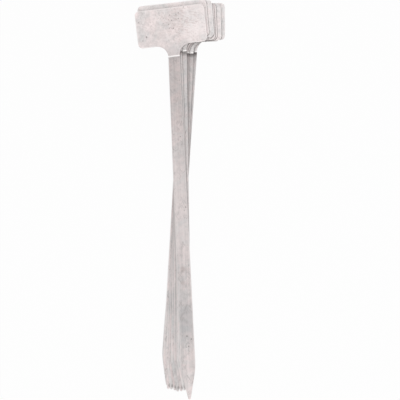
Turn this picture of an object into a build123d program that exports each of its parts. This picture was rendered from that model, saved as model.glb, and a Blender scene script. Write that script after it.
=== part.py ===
from build123d import *
import math
import os

# A loose pack of T-headed sheet metal plant label stakes, fanned out on a table.
# The stakes are alike. They lie flat on each other, and their heads are folded up and
# nest one in the next. +Y points to the heads and +Z up. The origin is on the table,
# under the point of the bottom stake's shaft where the others cross it.

# The sheet and its fold
sheet_thickness = 0.5
fold_angle = 32.0
fold_inner_radius = 1.2

# The shaft, from the fold to the tip; the point is measured as if its tip were sharp
shaft_width = 10.8
shaft_length = 298.5
point_length = 25.0
shoulder_radius = 45.0
tip_radius = 0.9

# The head, measured on the folded sheet
neck_length = 10.1
neck_fillet_radius = 9.9
head_width = 64.0
head_height = 33.0
head_corner_radius = 4.0

# How the pack lies: at the tips the shafts touch but for the layer gap, and each stake
# leans up a little on the one beneath, as sheets that are not quite flat do.
crossing_to_fold = 138.0
layer_gap = 0.06
head_gap = 0.08
lean_step = 0.115
play_length = 6.5
bottom_turn = -2.25

# Each stake above the bottom one: the degrees it is turned on the one beneath, the share
# of the shaft's width that it lies further to the right, and the share of the play by
# which it has slid further towards the tips.
turn_steps = (1.1, 0.15, 1.19, 0.69, 0.83, 0.24, 1.17, 0.75)
side_shares = (-0.16, 0.173, -0.062, 0.022, 0.031, 0.145, -0.135, -0.006)
play_shares = (0.46, 0.155, 0.115, 0.188, 0.03, 0.028, 0.028, 1.056)


def outline_face(corners, radii):
    """One flat face with rounded corners; a radius of zero keeps its corner sharp."""
    face = make_face(Polyline(*corners, close=True))
    for corner, radius in zip(corners, radii):
        if radius > 0:
            face = fillet(face.vertices().sort_by_distance((*corner, 0))[0], radius)
    return face


def shaft_face():
    """The shaft's outline: parallel sides, rounded shoulders and a blunt point."""
    half = shaft_width / 2
    half_angle = math.atan(half / point_length)
    sharp_length = shaft_length + tip_radius * (1 / math.sin(half_angle) - 1)
    shoulder = point_length - sharp_length
    corners = [(-half, 0), (-half, shoulder), (0, -sharp_length), (half, shoulder), (half, 0)]
    return outline_face(corners, [0, shoulder_radius, tip_radius, shoulder_radius, 0])


def head_face():
    """The T-shaped head's outline, from the fold up, on the head's own plane."""
    half_neck = shaft_width / 2
    half = head_width / 2
    top = neck_length + head_height
    right = [(half_neck, 0), (half_neck, neck_length), (half, neck_length), (half, top)]
    left = [(-x, y) for x, y in reversed(right)]
    rounding = [0, neck_fillet_radius, head_corner_radius, head_corner_radius]
    return outline_face(right + left, rounding + rounding[::-1])


def fold_bend():
    """The rounded fold between the shaft and the head."""
    centre = sheet_thickness + fold_inner_radius
    section = Plane.YZ * (
        Pos(0, centre) * (
            Circle(fold_inner_radius + sheet_thickness) - Circle(fold_inner_radius)
        )
    )
    ring = extrude(section, amount=shaft_width / 2, both=True)
    reach = 2 * (fold_inner_radius + sheet_thickness)
    rim = [(0, 0), (0, -reach), (reach * math.tan(math.radians(fold_angle)), -reach)]
    wedge = Plane.YZ * (Pos(0, centre) * make_face(Polyline(*rim, close=True)))
    return ring & extrude(wedge, amount=shaft_width, both=True)


def head_plane():
    """The underside of the head, where the fold ends."""
    tilt = math.radians(fold_angle)
    outer = fold_inner_radius + sheet_thickness
    origin = (0, outer * math.sin(tilt), outer * (1 - math.cos(tilt)))
    return Plane(origin=origin, x_dir=(1, 0, 0), z_dir=(0, -math.sin(tilt), math.cos(tilt)))


def stake():
    """One stake, stamped and folded from one sheet, with the fold's start at the origin."""
    shaft = extrude(shaft_face(), amount=sheet_thickness)
    head = extrude(head_plane() * head_face(), amount=sheet_thickness)
    return shaft + fold_bend() + head


def rise_at_crossing():
    """How far each stake lies above the one beneath, where the shafts cross."""
    below = shaft_length - crossing_to_fold
    return sheet_thickness + layer_gap + below * math.sin(math.radians(lean_step))


def slide_step(turn, share):
    """How far a stake has slid down on the one beneath, so that the two heads nest clear."""
    tilt = math.radians(fold_angle)
    rise = rise_at_crossing() + crossing_to_fold * math.sin(math.radians(lean_step))
    nested = (sheet_thickness + head_gap - rise * math.cos(tilt)) / math.sin(tilt)
    turned = head_width / 2 * math.sin(math.radians(abs(turn)))
    return turned + nested + play_length * share


def pack():
    """All stakes as they lie, bottom one first."""
    piece = Pos(0, crossing_to_fold, 0) * stake()
    place = Rot(0, 0, bottom_turn)
    stakes = [place * piece]
    for turn, side, play in zip(turn_steps, side_shares, play_shares):
        step = Pos(shaft_width * side, -slide_step(turn, play), rise_at_crossing())
        place = place * step * Rot(lean_step, 0, turn)
        stakes.append(place * piece)
    return stakes


os.makedirs("parts", exist_ok=True)
for number, placed in enumerate(pack(), start=1):
    export_step(placed, f"parts/label_stake_{number:02d}.step")
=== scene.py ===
import bpy
import bmesh
import math
from mathutils import Matrix, Vector


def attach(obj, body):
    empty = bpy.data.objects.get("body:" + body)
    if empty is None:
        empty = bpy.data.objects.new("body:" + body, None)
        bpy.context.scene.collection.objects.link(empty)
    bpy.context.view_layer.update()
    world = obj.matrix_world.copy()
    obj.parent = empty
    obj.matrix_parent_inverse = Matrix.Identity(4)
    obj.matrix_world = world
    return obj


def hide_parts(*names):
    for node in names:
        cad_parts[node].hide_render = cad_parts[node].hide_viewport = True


# A loose fanned pack of galvanised plant label stakes on a white table.
# Metres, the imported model's own frame: +Y to the heads, +Z up.

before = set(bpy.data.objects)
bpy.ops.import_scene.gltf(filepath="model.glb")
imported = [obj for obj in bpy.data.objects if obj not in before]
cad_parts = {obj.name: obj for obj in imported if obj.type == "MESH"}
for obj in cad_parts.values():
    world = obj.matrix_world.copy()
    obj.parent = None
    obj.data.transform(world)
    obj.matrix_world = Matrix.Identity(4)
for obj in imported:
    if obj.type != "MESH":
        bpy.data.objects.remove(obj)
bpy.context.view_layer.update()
print("frame loaded with", len(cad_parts), "stakes")

mm = 0.001
plainWhite = (1, 1, 1, 1)
scene = bpy.context.scene
scene.view_settings.view_transform = "Standard"


# camera: where it looks on the table, how far off it is, and how it leans and turns in degrees
view = {
    "target": (15.9 * mm, -13.82 * mm, 0.5 * mm),
    "distance": 466.9 * mm,
    "towardsTips": 24.03,
    "towardsRight": 5.53,
    "turn": 3.182,
    "roll": -2.567,
    "focalPixels": 562.16,
    "imagePixels": 400,
    "sensor": 36.0,
    "clip": (0.02, 20),
}


def makeCamera():
    side = math.tan(math.radians(view["towardsRight"]))
    tilt = math.tan(math.radians(view["towardsTips"]))
    turned = Matrix.Rotation(math.radians(view["turn"]), 3, "Z")
    back = (turned @ Vector((side, -tilt, 1))).normalized()
    right = (turned @ Vector((0, 1, 0))).cross(back).normalized()
    up = back.cross(right)
    angle = math.radians(view["roll"])
    rolledRight = right * math.cos(angle) + up * math.sin(angle)
    rolledUp = up * math.cos(angle) - right * math.sin(angle)
    axes = Matrix((rolledRight, rolledUp, back)).transposed().to_4x4()
    place = Vector(view["target"]) + back * view["distance"]
    data = bpy.data.cameras.new("photoCamera")
    data.sensor_width = view["sensor"]
    data.lens = view["focalPixels"] / view["imagePixels"] * view["sensor"]
    data.clip_start, data.clip_end = view["clip"]
    camera = bpy.data.objects.new("photoCamera", data)
    camera.matrix_world = Matrix.Translation(place) @ axes
    scene.collection.objects.link(camera)
    scene.camera = camera


# one stake, stamped from sheet; lengths run from the fold to the tip or to the head's top
stakeShape = {
    "thickness": 0.5 * mm,
    "foldAngle": math.radians(32),
    "foldRadius": 1.2 * mm,         # inside of the fold
    "shaftWidth": 10.8 * mm,
    "shaftLength": 298.5 * mm,
    "pointLength": 25.0 * mm,
    "shoulderRadius": 45.0 * mm,
    "tipRadius": 0.9 * mm,
    "neckLength": 10.1 * mm,
    "neckFillet": 9.9 * mm,
    "headWidth": 64.0 * mm,
    "headHeight": 33.0 * mm,
    "cornerRadius": 4.0 * mm,
    "edgeRound": 0.09 * mm,         # the stamped edge's soft rim
    "edgeSteps": 2,
    "arcSteps": 10,
    "sharpAngle": math.radians(50),
    "weldGap": 0.001 * mm,
}
slack = 0.01 * mm                   # for picking vertices by their place


def headFrame(shape):
    # where the fold ends on the underside, and the way up the head from there
    outer = shape["foldRadius"] + shape["thickness"]
    tilt = shape["foldAngle"]
    foldEnd = Vector((0, outer * math.sin(tilt), outer * (1 - math.cos(tilt))))
    return foldEnd, Vector((0, math.cos(tilt), math.sin(tilt)))


def pick(piece, wanted):
    # selects the vertices whose place passes the test, and the edges between them
    mesh = bmesh.from_edit_mesh(piece.data)
    bpy.ops.mesh.select_all(action="DESELECT")
    for vertex in mesh.verts:
        vertex.select = wanted(vertex.co)
    mesh.select_flush(True)
    bmesh.update_edit_mesh(piece.data)


def growRow(step, stretch=(1, 1, 1), about=None):
    # pulls the selected row of edges out by one step and stretches it
    bpy.ops.mesh.extrude_region_move(TRANSFORM_OT_translate={"value": tuple(step)})
    if about is None:
        bpy.ops.transform.resize(value=stretch)
    else:
        bpy.ops.transform.resize(value=stretch, center_override=tuple(about))


def pointRows(shape):
    # (distance from the fold, half width) down the shaft to the blunt tip
    half = shape["shaftWidth"] / 2
    flank = math.atan(half / shape["pointLength"])
    overshoot = shape["tipRadius"] * (1 / math.sin(flank) - 1)
    shoulder = shape["shaftLength"] + overshoot - shape["pointLength"]
    start = shoulder - shape["shoulderRadius"] * math.tan(flank / 2)
    steps = shape["arcSteps"]
    rows = [(start, half)]
    for k in range(1, steps + 1):
        angle = flank * k / steps
        along = start + shape["shoulderRadius"] * math.sin(angle)
        rows.append((along, half - shape["shoulderRadius"] * (1 - math.cos(angle))))
    centre = shape["shaftLength"] - shape["tipRadius"]
    for k in range(steps):
        angle = flank + (math.pi / 2 - flank) * k / steps
        along = centre + shape["tipRadius"] * math.sin(angle)
        rows.append((along, shape["tipRadius"] * math.cos(angle)))
    return rows


def neckRows(shape):
    # (distance from the fold, half width) up the neck, through its fillets
    half = shape["shaftWidth"] / 2
    start = shape["neckLength"] - shape["neckFillet"]
    rows = [(start, half)]
    for k in range(1, shape["arcSteps"] + 1):
        angle = math.pi / 2 * k / shape["arcSteps"]
        along = start + shape["neckFillet"] * math.sin(angle)
        rows.append((along, half + shape["neckFillet"] * (1 - math.cos(angle))))
    return rows


def wingColumns(shape):
    # (distance from the middle, half height) out to the head's rounded ends
    half = shape["headHeight"] / 2
    radius = shape["cornerRadius"]
    start = shape["headWidth"] / 2 - radius
    columns = [(start, half)]
    for k in range(1, shape["arcSteps"] + 1):
        angle = math.pi / 2 * k / shape["arcSteps"]
        columns.append((start + radius * math.sin(angle), half - radius * (1 - math.cos(angle))))
    return columns


def growShaft(shape):
    half = shape["shaftWidth"] / 2
    reach = shape["shaftWidth"]
    for along, width in pointRows(shape):
        growRow((0, reach - along, 0), (width / half, 1, 1))
        reach, half = along, width
    growRow((0, reach - shape["shaftLength"], 0))
    bpy.ops.mesh.merge(type="CENTER")


def growHead(piece, shape):
    foldEnd, upward = headFrame(shape)
    half = shape["shaftWidth"] / 2
    reach = 0
    for along, width in neckRows(shape):
        growRow(upward * (along - reach), (width / half, 1, 1))
        reach, half = along, width
    growRow(upward * shape["headHeight"])
    middle = foldEnd + upward * (shape["neckLength"] + shape["headHeight"] / 2)
    bottom = (foldEnd + upward * shape["neckLength"]).y
    for side in (1, -1):
        edge = half
        pick(piece, lambda co: co.x * side > half - slack and co.y > bottom - slack)
        tall = shape["headHeight"] / 2
        for out, height in wingColumns(shape):
            about = middle + Vector((side * out, 0, 0))
            growRow((side * (out - edge), 0, 0), (1, height / tall, height / tall), about)
            edge, tall = out, height


def finishSheet(piece, shape):
    # the sheet's faces look up before it gets its thickness
    bpy.ops.mesh.select_all(action="SELECT")
    bpy.ops.mesh.remove_doubles(threshold=shape["weldGap"])
    bpy.ops.mesh.normals_make_consistent(inside=False)
    mesh = bmesh.from_edit_mesh(piece.data)
    if sum(face.normal.z * face.calc_area() for face in mesh.faces) < 0:
        bpy.ops.mesh.flip_normals()
    bpy.ops.object.mode_set(mode="OBJECT")
    wall = piece.modifiers.new("wall", "SOLIDIFY")
    wall.thickness = shape["thickness"]
    wall.offset = 1
    wall.use_even_offset = True
    rim = piece.modifiers.new("rim", "BEVEL")
    rim.width = shape["edgeRound"]
    rim.segments = shape["edgeSteps"]
    rim.limit_method = "ANGLE"
    rim.angle_limit = shape["sharpAngle"]
    for name in ("wall", "rim"):
        bpy.ops.object.modifier_apply(modifier=name)
    bpy.ops.object.shade_smooth_by_angle(angle=shape["sharpAngle"])
    smooth = piece.modifiers.new("even", "WEIGHTED_NORMAL")
    smooth.keep_sharp = True
    bpy.ops.object.modifier_apply(modifier="even")
    markCutEdges(piece, shape)


def markCutEdges(piece, shape):
    # the sheared rim of the sheet keeps a mark of its own for the finish
    facingUp = 0.9                  # a face that leans further than this is part of the rim
    foldEnd, _ = headFrame(shape)
    mark = piece.data.attributes.new("cutEdge", "FLOAT", "FACE")
    for face in piece.data.polygons:
        lean = shape["foldAngle"] * min(max(face.center.y / foldEnd.y, 0), 1)
        upright = Vector((0, -math.sin(lean), math.cos(lean)))
        mark.data[face.index].value = 1.0 if abs(face.normal.dot(upright)) < facingUp else 0.0


def makeStake(shape):
    bpy.ops.object.select_all(action="DESELECT")
    width = shape["shaftWidth"]
    bpy.ops.mesh.primitive_plane_add(size=width, location=(0, -width / 2, 0))
    piece = bpy.context.active_object
    piece.name = "firstStake"
    bpy.ops.object.transform_apply(location=True, rotation=True, scale=True)
    bpy.ops.object.mode_set(mode="EDIT")
    bpy.ops.mesh.select_mode(type="VERT")
    pick(piece, lambda co: co.y < -width / 2)
    growShaft(shape)
    pick(piece, lambda co: co.y > -width / 2)
    outer = shape["foldRadius"] + shape["thickness"]
    bpy.ops.mesh.spin(
        steps=shape["arcSteps"], angle=shape["foldAngle"], center=(0, 0, outer), axis=(-1, 0, 0)
    )
    growHead(piece, shape)
    finishSheet(piece, shape)
    return piece


# how the pack lies, bottom stake first: turns in degrees, shares of the width and the play
packLayout = {
    "crossingToFold": 138.0 * mm,
    "layerGap": 0.06 * mm,
    "headGap": 0.08 * mm,
    "leanStep": 0.115,
    "play": 6.5 * mm,
    "bottomTurn": -2.25,
    "turnSteps": (1.1, 0.15, 1.19, 0.69, 0.83, 0.24, 1.17, 0.75),
    "sideShares": (-0.16, 0.173, -0.062, 0.022, 0.031, 0.145, -0.135, -0.006),
    "playShares": (0.46, 0.155, 0.115, 0.188, 0.03, 0.028, 0.028, 1.056),
}


def stakePlaces(layout, shape):
    # each stake's place, worked out from the one beneath it
    lean = math.sin(math.radians(layout["leanStep"]))
    rise = shape["thickness"] + layout["layerGap"]
    rise += (shape["shaftLength"] - layout["crossingToFold"]) * lean
    foldRise = rise + layout["crossingToFold"] * lean
    tilt = shape["foldAngle"]
    apart = shape["thickness"] + layout["headGap"]
    nested = (apart - foldRise * math.cos(tilt)) / math.sin(tilt)
    toFold = Matrix.Translation((0, layout["crossingToFold"], 0))
    place = Matrix.Rotation(math.radians(layout["bottomTurn"]), 4, "Z")
    places = [place @ toFold]
    for turn, side, play in zip(layout["turnSteps"], layout["sideShares"], layout["playShares"]):
        slide = shape["headWidth"] / 2 * math.sin(math.radians(abs(turn))) + nested
        slide += layout["play"] * play
        step = Matrix.Translation((shape["shaftWidth"] * side, -slide, rise))
        leaning = Matrix.Rotation(math.radians(layout["leanStep"]), 4, "X")
        place = place @ step @ leaning @ Matrix.Rotation(math.radians(turn), 4, "Z")
        places.append(place @ toFold)
    return places


def layPack(first, places):
    stakes = []
    for number, place in enumerate(places, start=1):
        bpy.ops.object.select_all(action="DESELECT")
        first.select_set(True)
        bpy.context.view_layer.objects.active = first
        bpy.ops.object.duplicate(linked=False)
        piece = bpy.context.active_object
        piece.name = f"labelStake{number:02d}"
        piece.matrix_world = place
        bpy.ops.object.transform_apply(location=True, rotation=True, scale=True)
        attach(piece, f"stake_{number:02d}")
        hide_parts(f"label_stake_{number:02d}")
        stakes.append(piece)
    bpy.data.objects.remove(first)
    return stakes


# shader helpers
def addNode(tree, kind, **settings):
    node = tree.nodes.new("ShaderNode" + kind)
    for name, value in settings.items():
        setattr(node, name, value)
    return node


def feed(tree, node, values):
    # a value is typed in, a socket is wired up
    for name, value in values.items():
        if isinstance(value, bpy.types.NodeSocket):
            tree.links.new(value, node.inputs[name])
        else:
            node.inputs[name].default_value = value


def calc(tree, operation, first, second=0.0):
    node = addNode(tree, "Math", operation=operation)
    feed(tree, node, {0: first, 1: second})
    return node.outputs[0]


def times(tree, first, second):
    return calc(tree, "MULTIPLY", first, second)


def sumOf(tree, base, masks, shares):
    # a base value with a share of each mask added
    for name, share in shares.items():
        base = calc(tree, "ADD", base, times(tree, masks[name], share))
    return base


def smoothStep(tree, value, start, end, low=0.0, high=1.0):
    # low up to the start, high from the end on
    node = addNode(tree, "MapRange", interpolation_type="SMOOTHSTEP")
    feed(tree, node, {0: value, 1: start, 2: end, 3: low, 4: high})
    return node.outputs[0]


def fadeOut(tree, value, start, end):
    return smoothStep(tree, value, start, end, 1.0, 0.0)


def between(tree, value, rise, fall):
    # one between two places, and fading at both
    return times(tree, smoothStep(tree, value, *rise), fadeOut(tree, value, *fall))


def blendColour(tree, share, under, over, way="MIX"):
    node = addNode(tree, "Mix", data_type="RGBA", blend_type=way)
    feed(tree, node, {0: share, 6: under, 7: over})    # the colour mix's own sockets
    return node.outputs[2]


def paint(tree, colour, over, mask, share):
    # lays one colour over another where a mask shows
    return blendColour(tree, times(tree, mask, share), colour, over)


def noiseOf(tree, vector, scale, detail, roughness=0.6, distortion=0.0):
    node = addNode(tree, "TexNoise", noise_dimensions="3D")
    feed(tree, node, {
        "Vector": vector, "Scale": scale, "Detail": detail,
        "Roughness": roughness, "Distortion": distortion,
    })
    return node.outputs[0]


def cellsOf(tree, vector, scale):
    node = addNode(tree, "TexVoronoi", feature="F1")
    feed(tree, node, {"Vector": vector, "Scale": scale, "Randomness": 1.0})
    return node


def stretched(tree, vector, scale, turn):
    # turned first, then scaled along its own axes
    node = addNode(tree, "Mapping", vector_type="TEXTURE")
    feed(tree, node, {
        "Vector": vector, "Scale": tuple(1 / part for part in scale), "Rotation": (0, 0, turn),
    })
    return node.outputs[0]


# the finish's patterns: sizes as repeats in a metre, bare as the level that leaves sheet clear
patterns = {
    "zincMottle": {"Clouds": 75.0, "Mottle": 330.0, "Flakes": 240.0},
    "rollStreaks": {"Across": 620.0, "Along": 11.0},
    "oxidePits": {"Density": 290.0, "Pit Size": 0.21, "Cluster": 48.0, "Bare": 0.57},
    "hairScratches": {"Bare": 0.5},
    "weatherPatch": {"Centre": (0.0, 0.0, 0.0), "Radius": 0.01, "Soft": 0.7},
}

# the part of each pattern's noise that its mask spreads over
bands = {
    "cloud": (0.34, 0.66),
    "mottle": (0.28, 0.72),
    "streak": (0.3, 0.7),
    "pit": (0.0, 0.09),
    "pitCluster": (0.0, 0.1),
    "hairLine": (0.006, 0.026),
    "brokenLine": (0.0, 0.08),
    "rub": (0.5, 0.64),
}


def addSocket(group, label, way, value=0.0):
    kind = "NodeSocketVector" if isinstance(value, tuple) else "NodeSocketFloat"
    group.interface.new_socket(name=label, in_out=way, socket_type=kind).default_value = value


def newGroup(name, outputs):
    # a pattern's group: a vector and the pattern's own values in, its masks out
    group = bpy.data.node_groups.new(name, "ShaderNodeTree")
    addSocket(group, "Vector", "INPUT", (0.0, 0.0, 0.0))
    for label, value in patterns[name].items():
        addSocket(group, label, "INPUT", value)
    for label in outputs:
        addSocket(group, label, "OUTPUT")
    return group, group.nodes.new("NodeGroupInput").outputs, group.nodes.new("NodeGroupOutput")


# zinc bloom: broad clouds that shift the tint, a finer mottle, and the flakes of the zinc
def makeMottleGroup():
    tree, given, end = newGroup("zincMottle", ("Cloud", "Mottle", "Flake"))
    cloud = noiseOf(
        tree, given["Vector"], given["Clouds"], detail=4, roughness=0.62, distortion=0.5
    )
    mottle = noiseOf(tree, given["Vector"], given["Mottle"], detail=5, roughness=0.7)
    flakes = cellsOf(tree, given["Vector"], given["Flakes"])
    shade = addNode(tree, "SeparateColor")
    feed(tree, shade, {0: flakes.outputs["Color"]})
    feed(tree, end, {
        "Cloud": smoothStep(tree, cloud, *bands["cloud"]),
        "Mottle": smoothStep(tree, mottle, *bands["mottle"]),
        "Flake": shade.outputs[0],
    })


# rolling streaks, drawn out along the shaft
def makeStreakGroup():
    tree, given, end = newGroup("rollStreaks", ("Streak",))
    throughSheet = 40.0
    scale = addNode(tree, "CombineXYZ")
    feed(tree, scale, {"X": given["Across"], "Y": given["Along"], "Z": throughSheet})
    grown = addNode(tree, "VectorMath", operation="MULTIPLY")
    feed(tree, grown, {0: given["Vector"], 1: scale.outputs[0]})
    streak = noiseOf(tree, grown.outputs[0], 1.0, detail=4, roughness=0.65)
    feed(tree, end, {"Streak": smoothStep(tree, streak, *bands["streak"])})


# small dark pits of oxide with a ragged outline, gathered in loose clusters
def makePitGroup():
    tree, given, end = newGroup("oxidePits", ("Pits", "Dots"))
    ragged = {"scale": 900.0, "share": 0.2}
    spots = cellsOf(tree, given["Vector"], given["Density"])
    wobble = noiseOf(tree, given["Vector"], ragged["scale"], detail=2)
    wobble = calc(tree, "SUBTRACT", times(tree, wobble, ragged["share"]), ragged["share"] / 2)
    outline = calc(tree, "ADD", spots.outputs["Distance"], wobble)
    inside = calc(tree, "SUBTRACT", given["Pit Size"], outline)
    dots = smoothStep(tree, inside, *bands["pit"])
    cluster = noiseOf(tree, given["Vector"], given["Cluster"], detail=2)
    cluster = calc(tree, "SUBTRACT", cluster, given["Bare"])
    gathered = times(tree, dots, smoothStep(tree, cluster, *bands["pitCluster"]))
    feed(tree, end, {"Pits": gathered, "Dots": dots})


# hair scratches from handling, thin broken lines in two directions, and short slanting rubs;
# turns in radians, repeats in a metre
scratchPlan = {
    "lines": ((0.6, (700.0, 26.0, 700.0)), (-0.45, (560.0, 34.0, 560.0))),
    "rubs": (-0.32, (170.0, 1000.0, 1000.0)),
    "breaks": 120.0,
}


def makeScratchGroup():
    tree, given, end = newGroup("hairScratches", ("Scratches", "Lines", "Rubs"))
    vector = given["Vector"]
    lines = 0.0
    for turn, scale in scratchPlan["lines"]:
        noise = noiseOf(tree, stretched(tree, vector, scale, turn), 1.0, detail=2, roughness=0.5)
        offLine = calc(tree, "ABSOLUTE", calc(tree, "SUBTRACT", noise, 0.5))
        lines = calc(tree, "MAXIMUM", lines, fadeOut(tree, offLine, *bands["hairLine"]))
    broken = noiseOf(tree, vector, scratchPlan["breaks"], detail=3)
    shown = calc(tree, "SUBTRACT", broken, given["Bare"])
    shown = smoothStep(tree, shown, *bands["brokenLine"])
    turn, scale = scratchPlan["rubs"]
    rubs = noiseOf(tree, stretched(tree, vector, scale, turn), 1.0, detail=2, roughness=0.5)
    feed(tree, end, {
        "Scratches": times(tree, lines, shown),
        "Lines": lines,
        "Rubs": smoothStep(tree, rubs, *bands["rub"]),
    })


# a patch with a ragged outline, at a place on the sheet; it shapes the weathered, tarnished and
# worn patches, and the patches of painted shade and painted light
def makePatchGroup():
    tree, given, end = newGroup("weatherPatch", ("Patch",))
    ragged = {"scale": 190.0, "share": 0.9}
    gone = 1.2                      # the share of the radius by which the patch has faded out
    gap = addNode(tree, "VectorMath", operation="DISTANCE")
    feed(tree, gap, {0: given["Vector"], 1: given["Centre"]})
    share = calc(tree, "DIVIDE", gap.outputs["Value"], given["Radius"])
    wobble = noiseOf(tree, given["Vector"], ragged["scale"], detail=4, roughness=0.65)
    wobble = times(tree, calc(tree, "SUBTRACT", wobble, 0.5), ragged["share"])
    outline = calc(tree, "ADD", share, wobble)
    solid = calc(tree, "SUBTRACT", 1.0, given["Soft"])
    feed(tree, end, {"Patch": fadeOut(tree, outline, solid, gone)})


# the zinc's colours and how strongly they show, and what differs from stake to stake;
# its places are measured in the stake's own frame, right of the middle and from the fold
zincLook = {
    "warm": (0.83, 0.74, 0.73, 1),
    "cool": (0.74, 0.735, 0.73, 1),
    "weathered": (0.47, 0.485, 0.495, 1),
    "tarnished": (0.55, 0.45, 0.43, 1),
    # cut edges: the top stake's are partly bare steel and partly a painted highlight; the lower
    # stakes' are painted shade
    "cutEdge": (0.9, 0.86, 0.85, 1),
    "shadedCutEdge": (0.42, 0.39, 0.38, 1),
    # painted highlight for the fold's bright line
    "paintedFoldHighlight": (0.97, 0.94, 0.93, 1),
    # painted shade: laid below the folds, in the crevices between sheets and between the tips
    "paintedShade": (0.17, 0.15, 0.145, 1),
    # the rim colour is a painted highlight, for the outline and for lighter patches
    "rim": (0.95, 0.9, 0.89, 1),
    "marks": {"Scratches": ((0.4, 0.36, 0.35, 1), 0.4), "Pits": ((0.2, 0.165, 0.155, 1), 0.75)},
    "rimHighlightShare": 0.6,
    "edgeShare": 0.7,
    "foldHighlightShare": 0.85,
    "metallic": 0.3,
    "roughness": 0.42,
    "roughSwings": {"Mottle": 0.14, "Cloud": 0.1, "Pits": 0.2, "Shine": -0.2},
    "relief": {"Mottle": 1.0, "Scratches": -0.6, "Pits": -1.0},
    "reliefDepth": 0.03 * mm,
    "reliefStrength": 0.35,
    "cloudTint": 0.7,
    "lightest": 1.14,
    # how far each pattern swings the lightness, on the shaft and on the head
    "grain": {
        "Mottle": (0.19, 0.3), "Streak": (0.2, 0.03), "Cloud": (-0.05, -0.05),
        "Flake": (0.035, 0.035),
    },
    # each stake's cool tint, lightness, and painted shade on the shaft just below the fold,
    # bottom stake first
    "coolShares": (0.3, -0.15, 0.1, -0.25, 0.05, -0.1, 0.2, 0.1, -0.13),
    # each stake's lightness is partly its own tone and partly painted light, lifting the lower
    # stakes out of the shade of those above
    "lightShares": (1.1, 1.08, 1.06, 0.92, 0.98, 0.98, 1.06, 1.1, 1.0),
    "shadeBelowFold": (0.8, 0.8, 0.75, 0.72, 0.68, 0.6, 0.5, 0.4, 0.0),
    # how far off, from and to which openness, and how strongly painted shade darkens where a
    # sheet lies close by, on the shaft, the neck and the head
    "crevices": ((1.4 * mm, 0.6, 0.9, 0.2, 0.8, 0.7), (5.0 * mm, 0.45, 0.75, 0.08, 0.42, 0.1)),
    "worn": ((4, 31, 13), (1, -257, 7)),    # where the top stake is pitted and scratched
    "rubbingAndRimHighlight": (11, 31, 19, 0.55),           # where its head is rubbed, and how strongly
    # patches: right of the middle, from the fold, size, share and colour; the weathered and
    # tarnished ones are the coating's own, those in the shade colour are painted shade between
    # the tips, those in the rim colour painted light
    "patches": {
        9: (
            (1, -243, 18, 0.5, "weathered"), (-0.5, -202, 3, 0.55, "tarnished"),
            (-1, -213, 2.4, 0.35, "tarnished"), (-1, 4, 11, 0.4, "weathered"),
            (-22, 15, 15, 0.2, "weathered"), (4, 32, 11, 0.1, "tarnished"),
            (-13, 24, 9, 0.1, "tarnished"), (0, -28, 48, 0.25, "tarnished"),
            # painted light: lighter patches on the top stake's shaft and on its head's right end
            (0, -150, 60, 0.3, "rim"), (23, 29, 20, 0.45, "rim"),
        ),
        8: ((-3, -205, 12, 0.3, "weathered"), (1, -268, 9, 0.3, "weathered")),
    },
    "otherPatches": (
        (2, -235, 12, 0.35, "weathered"), (-1, -60, 9, 0.25, "weathered"),
        # painted shade between the tips of the stakes beneath
        (1.0, -296, 1.7, 0.6, "paintedShade"),
    ),
    "seed": (0.37, 0.21, 0.53),             # shifts the patterns from stake to stake
}

# where the finish changes, in metres up from the fold or in from the outline
zincPlaces = {
    "grainChange": (-2 * mm, 3 * mm),
    "neckStart": (-1 * mm, 0.0),
    "headStart": (10 * mm, 13 * mm),
    "shadeBelowFoldSpan": ((-5.5 * mm, -0.6 * mm), (-0.3 * mm, 0.1 * mm)),
    "foldShine": ((-0.5 * mm, 0.2 * mm), (0.9 * mm, 1.5 * mm)),
    "headEnds": (1.1 * mm, 0.3 * mm),
    "headTop": (1.0 * mm, 0.2 * mm),
    "headFoot": (0.3 * mm, 1.1 * mm),
    "shaftSides": (0.9 * mm, 0.2 * mm),
    "pastNeck": (14 * mm, 17 * mm),
    "belowFold": (-2 * mm, 0.0),
}


def stakeFrame(tree, place):
    # the stake's own frame: the fold at the origin, +Y up the head and -Y down the shaft
    coords = addNode(tree, "TexCoord")
    own = addNode(tree, "Mapping", vector_type="TEXTURE")
    feed(tree, own, {
        "Vector": coords.outputs["Object"],
        "Location": place.to_translation(),
        "Rotation": place.to_euler(),
    })
    parts = addNode(tree, "SeparateXYZ")
    feed(tree, parts, {0: own.outputs[0]})
    return own.outputs[0], parts.outputs["X"], parts.outputs["Y"]


def layPatterns(tree, number, vector):
    # the masks of all patterns, laid differently on each stake
    moved = addNode(tree, "VectorMath", operation="ADD")
    feed(tree, moved, {0: vector, 1: tuple(number * part for part in zincLook["seed"])})
    masks = {}
    for name in ("zincMottle", "rollStreaks", "oxidePits", "hairScratches"):
        node = addNode(tree, "Group", node_tree=bpy.data.node_groups[name])
        feed(tree, node, {"Vector": moved.outputs[0], **patterns[name]})
        for socket in node.outputs:
            masks[socket.name] = socket
    return masks


def zincColour(tree, number, along, masks):
    # the mottled coating, between warm and cool, and lighter and darker with its grain
    look = zincLook
    cool = times(tree, masks["Cloud"], look["cloudTint"])
    cool = calc(tree, "ADD", cool, look["coolShares"][number - 1])
    # the stake's lightness: partly its own tone, partly painted light on the lower stakes
    light = look["lightShares"][number - 1]
    for name, (onShaft, onHead) in look["grain"].items():
        strength = smoothStep(tree, along, *zincPlaces["grainChange"], onShaft, onHead)
        swing = times(tree, calc(tree, "SUBTRACT", masks[name], 0.5), strength)
        light = calc(tree, "ADD", light, swing)
    light = calc(tree, "MINIMUM", light, look["lightest"])
    grey = addNode(tree, "CombineColor")
    feed(tree, grey, {0: light, 1: light, 2: light})
    colour = blendColour(tree, cool, look["warm"], look["cool"])
    return blendColour(tree, 1.0, colour, grey.outputs[0], "MULTIPLY")


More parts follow.
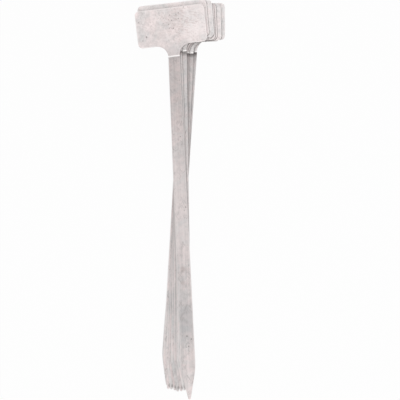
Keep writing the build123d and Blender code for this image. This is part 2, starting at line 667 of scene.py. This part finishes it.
def patchAt(tree, vector, right, along, radius):
    # a ragged patch at a place on the sheet, measured up the head or down the shaft
    _, upward = headFrame(stakeShape)
    way = upward if along > 0 else Vector((0, 1, 0))
    centre = (way * along + Vector((right, 0, 0))) * mm
    node = addNode(tree, "Group", node_tree=bpy.data.node_groups["weatherPatch"])
    feed(tree, node, {
        "Vector": vector, "Centre": centre, "Radius": radius * mm,
        "Soft": patterns["weatherPatch"]["Soft"],
    })
    return node.outputs[0]


def addPatches(tree, number, vector, colour):
    look = zincLook
    for right, along, radius, share, tint in look["patches"].get(number, look["otherPatches"]):
        patch = patchAt(tree, vector, right, along, radius)
        colour = paint(tree, colour, look[tint], patch, share)
    return colour


def wearTop(tree, vector, masks, colour):
    # the top stake shows all its pits and scratches in places, and its head is rubbed
    look = zincLook
    for spot in look["worn"]:
        worn = patchAt(tree, vector, *spot)
        for name, everywhere in (("Pits", "Dots"), ("Scratches", "Lines")):
            more = times(tree, masks[everywhere], worn)
            masks[name] = calc(tree, "MAXIMUM", masks[name], more)
    *spot, share = look["rubbingAndRimHighlight"]
    rubs = times(tree, masks["Rubs"], patchAt(tree, vector, *spot))
    return paint(tree, colour, look["tarnished"], rubs, share)


def nearEdge(tree, value, edge, name):
    # one in the last stretch before an edge
    far, close = zincPlaces[name]
    return smoothStep(tree, value, edge - far, edge - close)


def paintRimHighlight(tree, vector, across, along, colour):
    # a painted highlight along the outline, along the head's sides and the shaft's edges
    shape, where = stakeShape, zincPlaces
    foldEnd, upward = headFrame(shape)
    climb = addNode(tree, "VectorMath", operation="DOT_PRODUCT")
    feed(tree, climb, {0: vector, 1: upward})
    up = calc(tree, "SUBTRACT", climb.outputs["Value"], foldEnd.dot(upward))
    out = calc(tree, "ABSOLUTE", across)
    headTop = nearEdge(tree, up, shape["neckLength"] + shape["headHeight"], "headTop")
    headFoot = fadeOut(tree, up, *(shape["neckLength"] + above for above in where["headFoot"]))
    headFoot = times(tree, headFoot, smoothStep(tree, out, *where["pastNeck"]))
    shaftSides = nearEdge(tree, out, shape["shaftWidth"] / 2, "shaftSides")
    shaftSides = times(tree, shaftSides, fadeOut(tree, along, *where["belowFold"]))
    rubbingAndRimHighlight = nearEdge(tree, out, shape["headWidth"] / 2, "headEnds")
    for mark in (headTop, headFoot, shaftSides):
        rubbingAndRimHighlight = calc(tree, "MAXIMUM", rubbingAndRimHighlight, mark)
    return paint(tree, colour, zincLook["rim"], rubbingAndRimHighlight, zincLook["rimHighlightShare"])


def paintFoldHighlightAndShade(tree, number, along, masks, colour):
    # a painted highlight along the fold, where the press also left it smoother, and painted
    # shade on the shaft just below it
    look = zincLook
    belowFoldShade = between(tree, along, *zincPlaces["shadeBelowFoldSpan"])
    colour = paint(tree, colour, look["paintedShade"], belowFoldShade, look["shadeBelowFold"][number - 1])
    masks["Shine"] = between(tree, along, *zincPlaces["foldShine"])
    return paint(tree, colour, look["paintedFoldHighlight"], masks["Shine"], look["foldHighlightShare"])


def paintCreviceShade(tree, along, colour):
    # painted shade where the next sheet lies close over this one
    for reach, shut, clear, onShaft, onNeck, onHead in zincLook["crevices"]:
        closeBy = addNode(tree, "AmbientOcclusion", samples=8)
        feed(tree, closeBy, {"Distance": reach})
        dark = fadeOut(tree, closeBy.outputs["AO"], shut, clear)
        share = smoothStep(tree, along, *zincPlaces["neckStart"], onShaft, onNeck)
        share = smoothStep(tree, along, *zincPlaces["headStart"], share, onHead)
        colour = paint(tree, colour, zincLook["paintedShade"], dark, share)
    return colour


def makeZinc(number, place):
    # one stake's galvanised finish, laid out in that stake's own frame
    look = zincLook
    finish = bpy.data.materials.new(f"galvanisedZinc{number:02d}")
    finish.use_nodes = True
    tree = finish.node_tree
    vector, across, along = stakeFrame(tree, place)
    masks = layPatterns(tree, number, vector)
    onTop = number == len(look["lightShares"])
    colour = zincColour(tree, number, along, masks)
    colour = addPatches(tree, number, vector, colour)
    if onTop:
        colour = wearTop(tree, vector, masks, colour)
    for name, (tint, share) in look["marks"].items():
        colour = paint(tree, colour, tint, masks[name], share)
    colour = paintRimHighlight(tree, vector, across, along, colour)
    # the cut edges: lighter on the top stake, partly bare steel and partly a painted highlight;
    # darker on the stakes beneath as painted shade between the sheets
    cut = addNode(tree, "Attribute", attribute_name="cutEdge")
    edgeTint = look["cutEdge"] if onTop else look["shadedCutEdge"]
    colour = paint(tree, colour, edgeTint, cut.outputs["Fac"], look["edgeShare"])
    colour = paintFoldHighlightAndShade(tree, number, along, masks, colour)
    colour = paintCreviceShade(tree, along, colour)
    bump = addNode(tree, "Bump")
    feed(tree, bump, {
        "Height": sumOf(tree, 0.0, masks, look["relief"]),
        "Strength": look["reliefStrength"],
        "Distance": look["reliefDepth"],
    })
    feed(tree, tree.nodes["Principled BSDF"], {
        "Base Color": colour,
        "Metallic": look["metallic"],
        "Roughness": sumOf(tree, look["roughness"], masks, look["roughSwings"]),
        "Normal": bump.outputs[0],
    })
    return finish


def seenDirectly(tree):
    # one where the table or the room is seen straight on, in a gloss or through glass
    path = addNode(tree, "LightPath")
    seen = calc(tree, "MAXIMUM", path.outputs["Is Camera Ray"], path.outputs["Is Glossy Ray"])
    return calc(tree, "MAXIMUM", seen, path.outputs["Is Transmission Ray"])


# the white table: how much of its white is its own, the rest shows the pack's shadow
tableLook = {"size": 6.0, "ownWhite": 0.97, "shade": (0.9, 0.9, 0.9, 1)}


def makeFloor():
    bpy.ops.object.select_all(action="DESELECT")
    bpy.ops.mesh.primitive_plane_add(size=tableLook["size"], location=(0, 0, 0))
    floor = bpy.context.active_object
    floor.name = "tableTop"
    finish = bpy.data.materials.new("whiteTable")
    finish.use_nodes = True
    tree = finish.node_tree
    tree.nodes.clear()
    matt = addNode(tree, "BsdfDiffuse")
    feed(tree, matt, {"Color": tableLook["shade"]})
    glow = addNode(tree, "Emission")
    feed(tree, glow, {"Color": plainWhite, "Strength": 1.0})
    mix = addNode(tree, "MixShader")
    feed(tree, mix, {
        0: times(tree, seenDirectly(tree), tableLook["ownWhite"]),
        1: matt.outputs[0], 2: glow.outputs[0],
    })
    feed(tree, addNode(tree, "OutputMaterial"), {"Surface": mix.outputs[0]})
    floor.data.materials.append(finish)


# the light: one wide soft lamp over the tips' side, and an even room
lampPlan = {
    "room": 0.3,
    "place": (0.3, -1.2, 1.05),
    "size": 2.4,
    "power": 21.0,
}


def makeLights():
    world = bpy.data.worlds.new("softRoom")
    scene.world = world
    world.use_nodes = True
    tree = world.node_tree
    extra = times(tree, seenDirectly(tree), 1 - lampPlan["room"])
    feed(tree, tree.nodes["Background"], {
        "Color": plainWhite, "Strength": calc(tree, "ADD", extra, lampPlan["room"]),
    })
    data = bpy.data.lights.new("softBox", "AREA")
    data.size = lampPlan["size"]
    data.energy = lampPlan["power"]
    lamp = bpy.data.objects.new("softBox", data)
    lamp.location = lampPlan["place"]
    lamp.rotation_euler = (-Vector(lampPlan["place"])).to_track_quat("-Z", "Y").to_euler()
    scene.collection.objects.link(lamp)


makeCamera()
print("camera set up")
firstStake = makeStake(stakeShape)
print("stake modelled with", len(firstStake.data.polygons), "faces")
places = stakePlaces(packLayout, stakeShape)
stakes = layPack(firstStake, places)
print("pack laid out")
for makeGroup in (
    makeMottleGroup, makeStreakGroup, makePitGroup, makeScratchGroup, makePatchGroup,
):
    makeGroup()
for number, (piece, place) in enumerate(zip(stakes, places), start=1):
    piece.data.materials.append(makeZinc(number, place))
print("zinc finishes made")
makeFloor()
makeLights()
print("table and light made")
